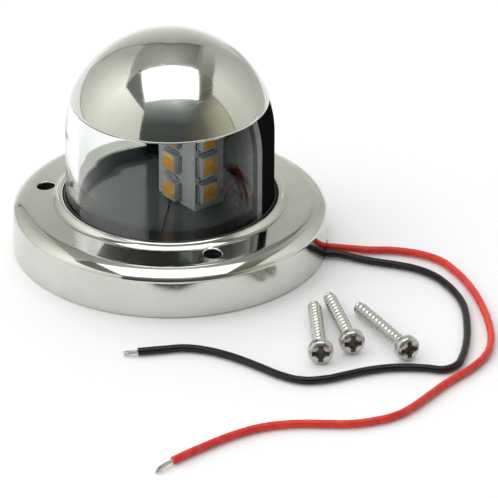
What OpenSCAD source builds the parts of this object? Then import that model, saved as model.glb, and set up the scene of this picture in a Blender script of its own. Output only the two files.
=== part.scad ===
// Masthead navigation light: drawn steel base and dome, clear front window, black rear screen, LED post.
// Millimetres. +Z is up, the origin is the centre of the base's underside, and ahead is -Y.

/* [Window and dome] */
// Outer diameter of the window at its foot
window_d = 50.4; // [46:0.2:64]
// Arc that the window leaves open, centred ahead
window_arc = 225; // [180:1:240]
// Wall thickness of the clear window
window_wall = 3; // [2:0.1:4]
// Wall thickness of the black rear screen
screen_wall = 1.6; // [1.2:0.1:2.4]
// Height of the dome's centre above the deck
dome_z = 30; // [26:0.5:40]
// Height of the dome's lower edge above the dome's centre
dome_edge = 9; // [6:0.5:12]
// How far the window and screen reach up under the dome, from the dome's edge
window_lap = 6; // [3:0.5:8]
// Radius by which the dome is larger than the window's foot
dome_over = 0.3; // [0:0.05:0.5]
// Step from the dome's outside down to the window's outside
dome_step = 0.35; // [0.2:0.05:0.6]

/* [Base] */
// Width of the base round the window
flange_w = 13.1; // [12:0.1:16]
// Height of the base's rim, below the shoulder
rim_h = 9.1; // [7:0.1:10]
// Lean of the rim, in degrees
rim_draft = 4; // [0:0.5:5]
// Radius of the shoulder above the rim
shoulder_r = 1.9; // [1.5:0.1:2.5]
// Radius of the crown between the shoulder and the top
crown_r = 6; // [5:0.1:7]
// Slope of the base's top between the crown and the bead, in degrees
top_slope = 5; // [3:0.5:6]
// Thickness of the drawn steel sheet
sheet = 0.8; // [0.5:0.1:1]
// Radius of the rolled bead round the window
bead_r = 0.7; // [0.6:0.05:0.9]
// Height of the bead's centre above the base's top
bead_rise = 0.45; // [0.3:0.05:0.6]
// Radius of the hollow between the base's top and the bead
hollow_r = 4; // [3:0.1:4.5]

/* [Fixing] */
// Distance from the rim to the centres of the screw holes
hole_inset = 7.55; // [6.5:0.05:8.5]
// Diameter of the screw holes
hole_d = 4.3; // [3.5:0.1:5]
// Turn of the three holes from the line ahead, in degrees
hole_turn = 11; // [0:1:60]
// Wall of the pillars round the screw holes
pillar_wall = 1; // [0.8:0.1:1.4]
// Thread diameter of a fixing screw
screw_d = 3.2; // [2.8:0.1:4]
// Length of a fixing screw under its head
screw_len = 24; // [16:1:32]
// Head diameter of a fixing screw
screw_head_d = 6; // [5:0.1:7]
// Head height of a fixing screw
screw_head_h = 2.4; // [1.8:0.1:3]

/* [Inside] */
// Thickness of the base plate
plate_t = 3; // [2.4:0.2:4]
// Thickness of the lamp holder's floor
floor_t = 1.9; // [1.4:0.1:2.4]
// Thickness of the gasket under the bead
gasket_t = 0.75; // [0.5:0.05:1]
// Width of the gasket's lip beside the window
gasket_lip = 0.45; // [0.4:0.05:0.8]
// Width of the LED post over its side boards
post_w = 14; // [12:0.5:17]
// Depth of the LED post behind its front board
post_depth = 8; // [7.8:0.2:10]
// Place of the front board's face, behind the centre
post_front = 2; // [0:0.1:4]
// Height of the LED boards
board_h = 24; // [22:1:28]
// Thickness of the LED boards
board_t = 1; // [0.8:0.1:1.6]
// Side of an LED package
led_w = 5; // [4.6:0.1:5.4]
// Height of an LED package
led_h = 1.6; // [1:0.1:2]
// Side of an LED's yellow window
gel_w = 4; // [3:0.1:4.2]
// Distance between LED centres on a board
led_pitch = 6.85; // [6.2:0.05:7]
// Height of the lowest LED's centre above the floor
led_first = 4.5; // [4.2:0.1:5.5]
// How far the front LEDs sit lower than the side LEDs
front_drop = 1.4; // [0:0.1:1.6]
// Place of the front LEDs beside the middle of their board
front_shift = -1.2; // [-1.4:0.1:1.4]
// Place of the side LEDs behind the middle of their boards
side_shift = -1.4; // [-1.4:0.1:1.4]
// Width of the slit in the lamp holder's floor
slit_w = 0.6; // [0.4:0.1:1]

/* [Leads] */
// Diameter of the insulated leads
lead_d = 1.8; // [1.4:0.1:2]
// Diameter of the bare strands
strand_d = 0.9; // [0.6:0.1:1]

/* [Hidden] */
$fn = 96;

// Room between pieces that are fitted together, room beside looser ones, and the overshoot of cuts
fit = 0.1;
room = 0.3;
cut = 1;

// Base outline: rim, shoulder, crown, top, hollow and bead meet at equal tangents
window_r = window_d / 2;
base_r = window_r + flange_w;
break_turn = 45;
shoulder_c = [base_r - (shoulder_r + rim_h * sin(rim_draft)) / cos(rim_draft), rim_h];
crown_c = shoulder_c + (shoulder_r - crown_r) * [cos(break_turn), sin(break_turn)];
crown_end = crown_c + crown_r * [sin(top_slope), cos(top_slope)];
function top_z(r) = crown_end.y + (crown_end.x - r) * tan(top_slope);
bead_c = window_r + fit + gasket_lip + fit + bead_r;
bead_z = top_z(bead_c) + bead_rise;
hollow_lift = hollow_r - bead_rise * cos(top_slope);
hollow_run = sqrt(pow(bead_r + hollow_r, 2) - pow(hollow_lift, 2));
hollow_c = [bead_c, bead_z] + hollow_run * [cos(top_slope), -sin(top_slope)]
    + hollow_lift * [sin(top_slope), cos(top_slope)];
hollow_end = hollow_c - hollow_r * [sin(top_slope), cos(top_slope)];

// Screw holes, the foot of the window and screen inside their pillars, and the point of the cone on which
// the pillars end
hole_pcd = 2 * (base_r - hole_inset);
pillar_r = hole_d / 2 + pillar_wall;
foot_r = hole_pcd / 2 - pillar_r - room;
pillar_top = top_z(0) - (sheet + fit) / cos(top_slope);

// Heights below the base's top: gasket, foot of the window and screen, seat on the plate's tower, floor
gasket_z = top_z(foot_r) - sheet / cos(top_slope) - fit;
foot_t = 1.8;
foot_z = gasket_z - gasket_t;
seat_z = foot_z - foot_t;
floor_z = seat_z + floor_t;
lip_z = bead_z + bead_r - fit;

// Radii inside the base, with a ledge on the plate's tower that carries the lamp holder
ledge = 1.2;
window_in = window_r - window_wall;
screen_in = window_r - screen_wall;
holder_r = window_in - 2 * fit;
tower_in = holder_r - ledge;
plate_r = base_r - sheet / cos(rim_draft) - plate_t * tan(rim_draft) - room;

// Dome and window spheres share one centre
dome_r = window_r + dome_over;
window_top_r = dome_r - dome_step;
lap_r = dome_r - sheet - fit;

// Gap between the window's and the screen's edges, in degrees
end_gap = 0.2;

// LED post, with a tenon in the lamp holder's floor and a chip resistor above each column of LEDs
core_w = post_w - 2 * board_t;
post_mid = post_front + board_t + post_depth / 2;
tenon_inset = [2, 1.2];
tenon = [core_w, post_depth] - 2 * tenon_inset;
led_count = 3;
gel_t = 0.5;
chip = [2, 0.55, 1.2];
chip_gap = 1.6;
chip_z = floor_z + led_first + (led_count - 1) * led_pitch + led_w / 2 + chip_gap;

// Slit in the floor, from under the post to the floor's edge, turned from ahead toward port
slit_turn = 45;
slit_deep = 0.8;
slit_back = 4;

// Screws that hold the lamp holder, driven up through the plate
holder_pcd = 30;
holder_turn = 20;
holder_head_r = 2.4;
holder_shank_r = 1.25;
holder_seat = 4.5;
holder_head_h = 1.4;
holder_edge = 0.5;
holder_point = 0.8;
holder_cover = 0.7;
holder_reach = floor_z - holder_cover;
boss_wall = 1;

// Leads: the direction from +X, spacing and height at which they leave the base
lead_r = lead_d / 2;
strand_r = strand_d / 2;
exit_turn = 42;
exit_pitch = 3.4;
exit_z = 1.2;
tube_sides = 8;

// Way of the leads: notch in the rim, grommet in the notch, channel in the plate, holes in the floor
grommet_wall = 0.8;
grommet_len = 4.8;
notch = [exit_pitch + lead_d, exit_z + lead_r] + grommet_wall * [2, 1];
channel_in = 12;
channel_h = 6;
red_drop = [11.1, 14.1];
black_drop = [12.6, 11.7];

// Lead routes, from the boards to the rim and from the rim to the bare ends
RED_INNER = [[7.95, 10.2, 13.6], [8.5, 11.4, 15.8], [9.5, 12.6, 17], [10.6, 13.7, 14.8],
    [11.1, 14.1, 10.5], [11.9, 14.3, 6.6], [14.6, 15.9, 3.8], [18.4, 19, 1.8],
    [23.1, 23.1, 1.2], [27.1, 26.7, 1.2]];
BLACK_INNER = [[8, 11.4, 11.95], [9.1, 11.9, 13.4], [10.3, 11.8, 14.5], [11.7, 11.8, 13.3],
    [12.6, 11.7, 10.5], [13.3, 11.8, 6.8], [16.4, 13, 3.8], [20.4, 16.1, 1.8],
    [25.4, 20.6, 1.2], [29.4, 24.2, 1.2]];
RED = [[27.1, 26.7, 1.2], [31.1, 30.3, 1.2], [34.5, 33.9, 1], [38, 38, 1], [41.8, 41.1, 1], [46, 43.2, 1],
    [50.5, 44, 1], [55, 43.4, 1], [60, 42.2, 1], [65, 40.4, 1], [70, 38.1, 1], [75, 35.4, 1],
    [79.5, 32.6, 1], [83.5, 29.7, 1], [87, 26.5, 1], [89.8, 23, 1], [91.7, 19, 1], [92.9, 15, 1],
    [93.6, 11, 1], [94.4, 6.5, 1], [95.5, 2, 1], [96.8, -2.8, 1], [97.9, -7.5, 1], [98.3, -12, 1],
    [97.3, -17, 1], [94.9, -22.4, 1], [91.5, -26.8, 1], [88, -31, 1], [85.3, -35.2, 1], [83.4, -39.7, 1],
    [82.4, -44.5, 1], [82, -49.5, 1], [82, -54.5, 1], [82.1, -59.5, 1], [82.4, -63.7, 1]];
RED_BARE = [[82.4, -63.7, 1], [82.6, -66.5, 1], [83.2, -69.2, 0.6]];
BLACK = [[29.4, 24.2, 1.2], [32.4, 26.9, 1.2], [36.8, 29.4, 1], [41, 31.9, 1], [45, 34.6, 1], [49.4, 36.8, 1],
    [54, 37.7, 1], [59, 37.3, 1], [64, 36, 1], [68.5, 34.1, 1], [73, 31.2, 1], [77, 28, 1], [81, 24.5, 1],
    [84.6, 20.8, 1], [87.7, 17, 1], [89.7, 13.6, 1], [89.5, 10, 1], [86.5, 7.2, 1], [83.3, 3.8, 1],
    [80.6, -0.2, 1], [78.7, -4.6, 1], [77.3, -9.5, 1], [75.8, -14.4, 1], [72.9, -18.8, 1], [68.3, -21.2, 1],
    [63.2, -22.4, 1], [58, -23.6, 1], [53, -25.2, 1], [48.4, -27.5, 1], [44.6, -30.6, 1], [42, -35, 1],
    [39.2, -40.2, 1]];
BLACK_BARE = [[39.2, -40.2, 1], [38.5, -41.5, 1], [37.3, -42.9, 0.6]];

// Loose fixing screws: tip on the deck, and heading from tip to head
SCREWS = [[48.2, 5.4, -36.5], [47.1, 10.8, -27.5], [55.1, 12.9, -13]];
screw_lean = asin((screw_head_d - screw_d) / 2 / screw_len);

// Shared shapes

// Wedge of a section plane between two directions from a point
module wedge(from, low, high, reach) {
    mid = (low + high) / 2;
    spread = reach / cos((high - low) / 2);
    translate(from)
        polygon([[0, 0], for (a = [low, mid, high]) spread * [cos(a), sin(a)]]);
}

// Section of the base's outside, moved inward by a depth
module base_section(depth) {
    low = depth > 0 ? -cut : 0;
    high = top_z(bead_c) - depth / cos(top_slope);
    rim_low = base_r - depth / cos(rim_draft) - low * tan(rim_draft);
    rim_k = shoulder_c + (shoulder_r - depth) * [cos(rim_draft), sin(rim_draft)];
    turn_k = shoulder_c + (shoulder_r - depth) * [cos(break_turn), sin(break_turn)];
    end_k = crown_c + (crown_r - depth) * [sin(top_slope), cos(top_slope)];
    polygon([[0, low], [rim_low, low], rim_k, turn_k, end_k, [bead_c, high], [0, high]]);
    intersection() {
        translate(shoulder_c) circle(shoulder_r - depth);
        wedge(shoulder_c, 0, break_turn, shoulder_r);
    }
    intersection() {
        translate(crown_c) circle(crown_r - depth);
        wedge(crown_c, break_turn, 90 - top_slope, crown_r);
    }
}

// Section of the window's wall, from its foot to its top edge under the dome
module wall_section(inner) {
    difference() {
        union() {
            polygon([
                [0, seat_z], [window_r, seat_z], [window_r, lip_z], [window_top_r, dome_z], [0, dome_z]
            ]);
            intersection() {
                translate([0, dome_z]) circle(window_top_r);
                translate([0, dome_z]) square([window_r, dome_edge - sheet / 2 - fit]);
            }
            intersection() {
                translate([0, dome_z]) circle(lap_r);
                translate([0, dome_z]) square([window_r, dome_edge + window_lap]);
            }
        }
        translate([-cut, seat_z - cut]) square([inner + cut, dome_z - seat_z + cut]);
        translate([0, dome_z]) circle(inner);
    }
    translate([window_in, seat_z]) square([foot_r - window_in, foot_t]);
}

// Sector of a turned section, centred on a direction from ahead
module sector(centre, arc) {
    rotate([0, 0, centre - 90 - arc / 2]) rotate_extrude(angle = arc) children();
}

// Copies at the three screw holes
module at_holes() {
    for (i = [0 : 2]) rotate([0, 0, hole_turn - 150 + 120 * i]) translate([hole_pcd / 2, 0, 0]) children();
}

// Copies at the three screws of the lamp holder
module at_holder_screws() {
    for (i = [0 : 2])
        rotate([0, 0, holder_turn - 150 + 120 * i]) translate([holder_pcd / 2, 0, 0]) children();
}

// Way of the leads through plate and rim, along +X before it is turned
module exit_slot(width, height, start, end) {
    rotate([0, 0, exit_turn]) translate([start, -width / 2, -cut]) cube([end - start, width, height + cut]);
}

// Round lead swept along a route
function unit(v) = v / norm(v);
function along(p, i) = unit(p[min(i + 1, len(p) - 1)] - p[max(i - 1, 0)]);
function ring(p, i, r, hint) =
    let (t = along(p, i), s = unit(cross(hint, t)), u = cross(t, s))
    [for (k = [0.5 : tube_sides]) p[i] + r * (cos(360 * k / tube_sides) * s + sin(360 * k / tube_sides) * u)];
module tube(p, r, hint = [0, 0, 1]) {
    last = (len(p) - 1) * tube_sides;
    polyhedron(
        [for (i = [0 : len(p) - 1]) each ring(p, i, r, hint)],
        [
            for (k = [1 : tube_sides - 2]) [0, k, k + 1],
            for (k = [1 : tube_sides - 2]) [last, last + k + 1, last + k],
            for (i = [0 : len(p) - 2]) for (k = [0 : tube_sides - 1])
                let (a = i * tube_sides + k, b = i * tube_sides + (k + 1) % tube_sides)
                each [[a, a + tube_sides, b], [b, a + tube_sides, b + tube_sides]]
        ]
    );
}

// Column of LED packages, face toward -Y
module led_column() {
    for (i = [0 : led_count - 1])
        translate([0, 0, floor_z + led_first + i * led_pitch]) difference() {
            translate([-led_w / 2, -led_h, -led_w / 2]) cube([led_w, led_h, led_w]);
            translate([-gel_w / 2, -led_h - cut, -gel_w / 2]) cube([gel_w, gel_t + cut, gel_w]);
        }
}

// Yellow filling of a column of LED packages
module gel_column() {
    for (i = [0 : led_count - 1])
        translate([-gel_w / 2, -led_h, floor_z + led_first + i * led_pitch - gel_w / 2])
            cube([gel_w, gel_t, gel_w]);
}

// Places of the board faces: front, port and starboard
module on_front() {
    translate([front_shift, post_front, -front_drop]) children();
}
module on_port() {
    translate([post_w / 2, post_mid + side_shift, 0]) rotate([0, 0, 90]) children();
}
module on_starboard() {
    translate([-post_w / 2, post_mid + side_shift, 0]) rotate([0, 0, -90]) children();
}

// Chip resistor on a board's face toward -Y
module chip_resistor() {
    translate([-chip.x / 2, -chip.y, chip_z]) cube(chip);
}

// Pan-head fixing screw, tip at the origin, head toward +X
module fixing_screw() {
    tip = 1.2;
    tip_r = 1;
    rim = 1.2;
    recess = 1.5;
    arm = 1.15;
    arm_reach = 2.1;
    r = screw_d / 2;
    head_r = screw_head_d / 2;
    crown = (head_r * head_r + pow(screw_head_h - rim, 2)) / (2 * (screw_head_h - rim));
    difference() {
        rotate([0, 90, 0]) rotate_extrude() {
            polygon([[0, 0], [tip_r, 0], [r, tip], [r, screw_len], [0, screw_len]]);
            translate([0, screw_len]) square([head_r, rim]);
            intersection() {
                translate([0, screw_len + screw_head_h - crown]) circle(crown);
                translate([0, screw_len + rim]) square([head_r, screw_head_h]);
            }
        }
        for (a = [0, 90]) rotate([a, 0, 0])
            translate([screw_len + screw_head_h - recess, -arm_reach, -arm / 2])
                cube([recess + cut, 2 * arm_reach, arm]);
    }
}

// Sub-parts

module base_flange() color("silver") difference() {
    rotate_extrude() {
        difference() {
            base_section(0);
            base_section(sheet);
            translate([-cut, -2 * cut]) square([bead_c + cut, bead_z + 4 * cut]);
        }
        translate([bead_c, bead_z]) circle(bead_r);
        difference() {
            polygon([[bead_c, top_z(bead_c) - sheet / 2], hollow_end - [0, sheet / 2], hollow_end, hollow_c,
                [bead_c, bead_z]]);
            translate(hollow_c) circle(hollow_r);
        }
    }
    at_holes() translate([0, 0, -cut]) cylinder(d = hole_d, h = bead_z + 2 * cut);
    exit_slot(notch.x, notch.y, plate_r, base_r + cut);
}

module base_plate() color("#1c1c1e") difference() {
    union() {
        cylinder(r = plate_r, h = plate_t);
        cylinder(r = foot_r, h = seat_z);
        at_holes() intersection() {
            cylinder(r = pillar_r, h = bead_z);
            translate([-hole_pcd / 2, 0, 0])
                cylinder(r1 = pillar_top / tan(top_slope), r2 = 0, h = pillar_top);
        }
    }
    difference() {
        translate([0, 0, plate_t]) cylinder(r = tower_in, h = seat_z);
        at_holder_screws() cylinder(r = holder_head_r + boss_wall, h = seat_z);
    }
    at_holes() translate([0, 0, -cut]) cylinder(d = hole_d, h = bead_z + 2 * cut);
    at_holder_screws() {
        translate([0, 0, -cut]) cylinder(r = holder_shank_r + fit, h = seat_z + 2 * cut);
        translate([0, 0, -cut]) cylinder(r = holder_head_r + 2 * fit, h = holder_seat + cut);
    }
    exit_slot(notch.x, channel_h, channel_in, base_r);
}

module lens_gasket() color("#141414") rotate_extrude() {
    translate([window_r + fit, foot_z]) square([gasket_lip, lip_z - foot_z]);
    translate([window_r + fit, foot_z]) square([foot_r - window_r - fit, gasket_t]);
}

module clear_window() color([0.9, 0.95, 0.95, 0.35]) sector(0, window_arc) wall_section(window_in);

module rear_screen() color("#0e0e10") sector(180, 360 - window_arc - 2 * end_gap) wall_section(screen_in);

module dome_cap() color("gainsboro") rotate_extrude() {
    turn = asin(dome_edge / (dome_r - sheet / 2));
    difference() {
        intersection() {
            translate([0, dome_z]) circle(dome_r);
            wedge([0, dome_z], turn, 90, 2 * dome_r);
        }
        translate([0, dome_z]) circle(dome_r - sheet);
    }
    translate([0, dome_z] + (dome_r - sheet / 2) * [cos(turn), sin(turn)]) circle(sheet / 2);
}

module lamp_holder() color("#202326") difference() {
    translate([0, 0, seat_z]) cylinder(r = holder_r, h = floor_t);
    translate([-tenon.x / 2 - fit, post_mid - tenon.y / 2 - fit, seat_z - cut])
        cube([tenon.x + 2 * fit, tenon.y + 2 * fit, floor_t + 2 * cut]);
    for (p = [red_drop, black_drop])
        translate([p.x, p.y, seat_z - cut]) cylinder(r = lead_r + room, h = floor_t + 2 * cut);
    at_holder_screws() translate([0, 0, seat_z - cut])
        cylinder(r = holder_shank_r + fit, h = holder_reach + fit - seat_z + cut);
    rotate([0, 0, slit_turn - 90]) translate([-slit_back, -slit_w / 2, floor_z - slit_deep])
        cube([slit_back + holder_r + cut, slit_w, slit_deep + cut]);
}

module holder_screws() color("silver") at_holder_screws() rotate_extrude() {
    low = holder_seat - holder_head_h;
    polygon([
        [0, low], [holder_head_r - holder_edge, low], [holder_head_r, low + holder_edge],
        [holder_head_r, holder_seat], [holder_shank_r, holder_seat],
        [holder_shank_r, holder_reach - holder_point], [holder_edge, holder_reach], [0, holder_reach]
    ]);
}

module led_post() color("#d9dcdc") {
    translate([-core_w / 2, post_front + board_t, floor_z]) cube([core_w, post_depth, board_h]);
    translate([-tenon.x / 2, post_mid - tenon.y / 2, seat_z]) cube([tenon.x, tenon.y, floor_t + cut]);
}

module front_board() color("#eef0ee")
    translate([-post_w / 2, post_front, floor_z]) cube([post_w, board_t, board_h]);

module port_board() color("#eef0ee")
    translate([core_w / 2, post_front + board_t, floor_z]) cube([board_t, post_depth, board_h]);

module starboard_board() color("#eef0ee")
    translate([-post_w / 2, post_front + board_t, floor_z]) cube([board_t, post_depth, board_h]);

module front_leds() color("#e4e6e2") on_front() led_column();

module port_leds() color("#e4e6e2") on_port() led_column();

module starboard_leds() color("#e4e6e2") on_starboard() led_column();

module led_gel() color("#e79a1c") {
    on_front() gel_column();
    on_port() gel_column();
    on_starboard() gel_column();
}

module chip_resistors() color("#17181a") {
    on_front() chip_resistor();
    on_port() chip_resistor();
    on_starboard() chip_resistor();
}

module lead_grommet() color("#161616") difference() {
    intersection() {
        exit_slot(notch.x - 2 * fit, notch.y - fit, base_r - grommet_len, base_r);
        cylinder(r1 = base_r - fit, r2 = base_r - fit - notch.y * tan(rim_draft), h = notch.y);
    }
    for (side = [-1, 1]) rotate([0, 0, exit_turn])
        translate([base_r - grommet_len - cut, side * exit_pitch / 2, exit_z]) rotate([0, 90, 0])
            cylinder(r = lead_r + fit, h = grommet_len + 2 * cut);
}

module red_lead_inner() color("#c8382c") tube(RED_INNER, lead_r, [-0.75, 0.66, 0.05]);

module black_lead_inner() color("#232424") tube(BLACK_INNER, lead_r, [-0.66, 0.75, 0.05]);

module red_lead() color("#c8382c") tube(RED, lead_r);

module black_lead() color("#232424") tube(BLACK, lead_r);

module red_strands() color("#8f8a80") tube(RED_BARE, strand_r);

module black_strands() color("#c9c6bd") tube(BLACK_BARE, strand_r);

module mounting_screw(i) color("silver")
    translate([SCREWS[i].x, SCREWS[i].y, screw_d / 2 / cos(screw_lean)])
        rotate([0, 0, SCREWS[i].z]) rotate([0, -screw_lean, 0]) fixing_screw();

base_flange();
base_plate();
lens_gasket();
clear_window();
rear_screen();
dome_cap();
lamp_holder();
holder_screws();
led_post();
front_board();
port_board();
starboard_board();
front_leds();
port_leds();
starboard_leds();
led_gel();
chip_resistors();
lead_grommet();
red_lead_inner();
black_lead_inner();
red_lead();
black_lead();
red_strands();
black_strands();
mounting_screw(0);  // mounting_screw_1
mounting_screw(1);  // mounting_screw_2
mounting_screw(2);  // mounting_screw_3
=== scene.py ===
"""Looks of a masthead navigation light, built round its packed CAD frame.

The file is laid out as an add-on and run as a script. Each operator makes a piece or a group of like pieces.
Lengths are metres in the frame's own axes: +Z is up, -Y is ahead and +X is port.
"""

import math

import bmesh
import bpy
from mathutils import Matrix, Vector
from mathutils.bvhtree import BVHTree
from mathutils.interpolate import poly_3d_calc


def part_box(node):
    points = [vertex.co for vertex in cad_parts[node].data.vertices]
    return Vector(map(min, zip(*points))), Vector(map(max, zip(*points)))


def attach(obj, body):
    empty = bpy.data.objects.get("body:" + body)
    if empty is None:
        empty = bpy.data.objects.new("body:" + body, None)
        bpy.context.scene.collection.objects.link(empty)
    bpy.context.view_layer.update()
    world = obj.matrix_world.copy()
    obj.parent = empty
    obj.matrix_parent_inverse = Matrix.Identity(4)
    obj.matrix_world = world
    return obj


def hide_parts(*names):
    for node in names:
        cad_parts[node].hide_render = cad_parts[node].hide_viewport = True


bl_info = {
    "name": "Navigation light",
    "version": (1, 0, 0),
    "blender": (4, 5, 0),
    "location": "3D View > Sidebar > Navigation light",
    "description": "Builds the looks of a masthead navigation light round its CAD frame",
    "category": "Add Mesh",
}

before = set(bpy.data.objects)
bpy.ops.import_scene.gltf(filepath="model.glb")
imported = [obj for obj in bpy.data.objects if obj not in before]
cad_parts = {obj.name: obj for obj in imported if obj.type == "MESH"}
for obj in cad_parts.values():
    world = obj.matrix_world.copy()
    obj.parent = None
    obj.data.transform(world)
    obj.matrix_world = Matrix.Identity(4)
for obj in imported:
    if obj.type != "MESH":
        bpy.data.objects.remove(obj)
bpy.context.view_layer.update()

MM = 0.001
TAU = 2 * math.pi

# Mesh density: steps round a turned piece, and the angle past which an edge stays sharp
ROUND_STEPS = 224
SHARP = math.radians(32)

# Lead routes in millimetres, as in the part's source
RED_INNER = (
    (7.95, 10.2, 13.6), (8.5, 11.4, 15.8), (9.5, 12.6, 17), (10.6, 13.7, 14.8), (11.1, 14.1, 10.5),
    (11.9, 14.3, 6.6), (14.6, 15.9, 3.8), (18.4, 19, 1.8), (23.1, 23.1, 1.2), (27.1, 26.7, 1.2),
)
BLACK_INNER = (
    (8, 11.4, 11.95), (9.1, 11.9, 13.4), (10.3, 11.8, 14.5), (11.7, 11.8, 13.3), (12.6, 11.7, 10.5),
    (13.3, 11.8, 6.8), (16.4, 13, 3.8), (20.4, 16.1, 1.8), (25.4, 20.6, 1.2), (29.4, 24.2, 1.2),
)
RED = (
    (27.1, 26.7, 1.2), (31.1, 30.3, 1.2), (34.5, 33.9, 1), (38, 38, 1), (41.8, 41.1, 1), (46, 43.2, 1),
    (50.5, 44, 1), (55, 43.4, 1), (60, 42.2, 1), (65, 40.4, 1), (70, 38.1, 1), (75, 35.4, 1),
    (79.5, 32.6, 1), (83.5, 29.7, 1), (87, 26.5, 1), (89.8, 23, 1), (91.7, 19, 1), (92.9, 15, 1),
    (93.6, 11, 1), (94.4, 6.5, 1), (95.5, 2, 1), (96.8, -2.8, 1), (97.9, -7.5, 1), (98.3, -12, 1),
    (97.3, -17, 1), (94.9, -22.4, 1), (91.5, -26.8, 1), (88, -31, 1), (85.3, -35.2, 1), (83.4, -39.7, 1),
    (82.4, -44.5, 1), (82, -49.5, 1), (82, -54.5, 1), (82.1, -59.5, 1), (82.4, -63.7, 1),
)
RED_BARE = ((82.4, -63.7, 1), (82.6, -66.5, 1), (83.2, -69.2, 0.6))
BLACK = (
    (29.4, 24.2, 1.2), (32.4, 26.9, 1.2), (36.8, 29.4, 1), (41, 31.9, 1), (45, 34.6, 1), (49.4, 36.8, 1),
    (54, 37.7, 1), (59, 37.3, 1), (64, 36, 1), (68.5, 34.1, 1), (73, 31.2, 1), (77, 28, 1), (81, 24.5, 1),
    (84.6, 20.8, 1), (87.7, 17, 1), (89.7, 13.6, 1), (89.5, 10, 1), (86.5, 7.2, 1), (83.3, 3.8, 1),
    (80.6, -0.2, 1), (78.7, -4.6, 1), (77.3, -9.5, 1), (75.8, -14.4, 1), (72.9, -18.8, 1), (68.3, -21.2, 1),
    (63.2, -22.4, 1), (58, -23.6, 1), (53, -25.2, 1), (48.4, -27.5, 1), (44.6, -30.6, 1), (42, -35, 1),
    (39.2, -40.2, 1),
)
BLACK_BARE = ((39.2, -40.2, 1), (38.5, -41.5, 1), (37.3, -42.9, 0.6))
LEADS = (("red", RED, RED_BARE, RED_INNER), ("black", BLACK, BLACK_BARE, BLACK_INNER))

# Loose fixing screws: tip in millimetres, and heading from tip to head in degrees
SCREWS = ((48.2, 5.4, -36.5), (47.1, 10.8, -27.5), (55.1, 12.9, -13))

# Strips of cards of the light tent, seen only in reflections: points along the lower and the upper edge,
# as azimuth from the camera, elevation and brightness, then a tint and a layer, where a higher one is nearer
WARM = (1, 1, 0.93)
COOL = (0.9, 1, 0.97)
OLIVE = (1, 0.97, 0.76)
BESIDE = 24  # layer of a board that stands on the floor close by
QUARTERS = range(-90, 271, 90)
TENT_STRIPS = {
    "sky": ([(a, -3, 0.6) for a in QUARTERS], [(a, 90, 0.5) for a in QUARTERS], WARM, 0),
    "over": (
        ((158, 34, 0.2), (180, 45.6, 0.32), (200, 37.4, 0.34), (214, 46.5, 0.4)),
        ((123.5, 60.7, 0.22), (177, 73.6, 0.62), (240, 62.7, 0.42), (252, 53.2, 0.5)), WARM, 1,
    ),
    "right_wing": (
        ((56, 48, 0.16), (80, 46.5, 0.17), (104, 51, 0.2)),
        ((50, 64, 0.16), (80, 66, 0.2), (123.5, 66, 0.34)), OLIVE, 1,
    ),
    "right_wing_back": (((104, 49, 0.22), (152, 32, 0.6)), ((123.5, 66, 0.36), (160, 34, 0.6)), WARM, 1),
    "right_stand": (((112, 0, 0.68), (165, 0, 0.55)), ((112, 8.6, 0.68), (165, 8.6, 0.55)), WARM, BESIDE),
    "left_wing": (((-90, 49, 0.2), (-37, 44, 0.2)), ((-120, 62.5, 0.2), (-49, 55, 0.26)), COOL, 3),
    "back_board": (
        ((156, -3, 0.8), (180, -3, 1.05), (212, -3, 0.85)),
        ((158, 34, 0.42), (180, 45.6, 0.46), (200, 37.4, 0.45)), WARM, 3,
    ),
    "back_seam": (
        ((157, 32.8, 0.13), (180, 44.4, 0.13), (200, 36.2, 0.13)),
        ((157, 34.8, 0.13), (180, 46.6, 0.13), (200, 38.2, 0.13)), WARM, 4,
    ),
    "corner_seam": (((211, 10, 0.2), (212.4, 10, 0.2)), ((199.5, 38, 0.2), (200.5, 38, 0.2)), WARM, 4),
    "left_board": (
        ((-150, -3, 0.62), (-108, -3, 0.88), (-90, -3, 0.9), (-31, -3, 0.75)),
        ((-146, 46.5, 0.5), (-108, 53.2, 1.2), (-90, 49, 1.45), (-37, 44, 0.95)), WARM, 2,
    ),
    "right_board_front": (((78, -3, 0.68), (104, -3, 0.75)), ((78, 47, 0.93), (104, 51, 1.05)), WARM, 2),
    "right_board_back": (((104, -3, 0.72), (156, -3, 0.5)), ((104, 51, 1.05), (146, 35, 0.55)), WARM, 2),
    "right_seam": (((77.2, 9, 0.18), (78.4, 9, 0.18)), ((77.2, 46.6, 0.18), (78.4, 46.6, 0.18)), WARM, 4),
    "left_horizon": (
        ((-150, -2, 0.4), (-90, -2, 0.4), (-32, -2, 0.4)),
        ((-150, 1, 0.4), (-90, 1, 0.4), (-32, 1, 0.4)), WARM, 4,
    ),
    "right_horizon": (((78, -2, 0.4), (150, -2, 0.4)), ((78, 1, 0.4), (150, 1, 0.4)), WARM, 4),
    "front_low": (((-31, -3, 0.07), (20, -3, 0.07)), ((-35, 33, 0.11), (20, 33, 0.1)), COOL, 3),
    "front_mid": (
        ((-35, 33, 0.11), (20, 33, 0.1), (42, 35, 0.16)),
        ((-37, 44, 0.29), (20, 46, 0.29), (42, 48, 0.19)), COOL, 3,
    ),
    "front_glow": (
        ((-37, 44, 0.29), (20, 46, 0.29), (58, 48.5, 0.17)),
        ((-49, 55, 0.6), (10, 66, 1.1), (54.4, 53.1, 0.36)), COOL, 3,
    ),
    "front_low_right": (
        ((20, -3, 0.07), (42, -3, 0.17), (58, -3, 0.46), (77.5, -3, 0.6)),
        ((20, 33, 0.1), (42, 35, 0.16), (58, 36, 0.4), (77.5, 34, 0.66)), OLIVE, 3,
    ),
    "front_mid_right": (
        ((42, 35, 0.16), (58, 36, 0.4), (77.5, 34, 0.66)),
        ((42, 48, 0.18), (58, 49, 0.16), (77.5, 47, 0.34)), OLIVE, 3,
    ),
}
TENT_RADIUS = 2.2
TENT_LAYER = 0.08
CARD_STEPS = 24

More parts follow.
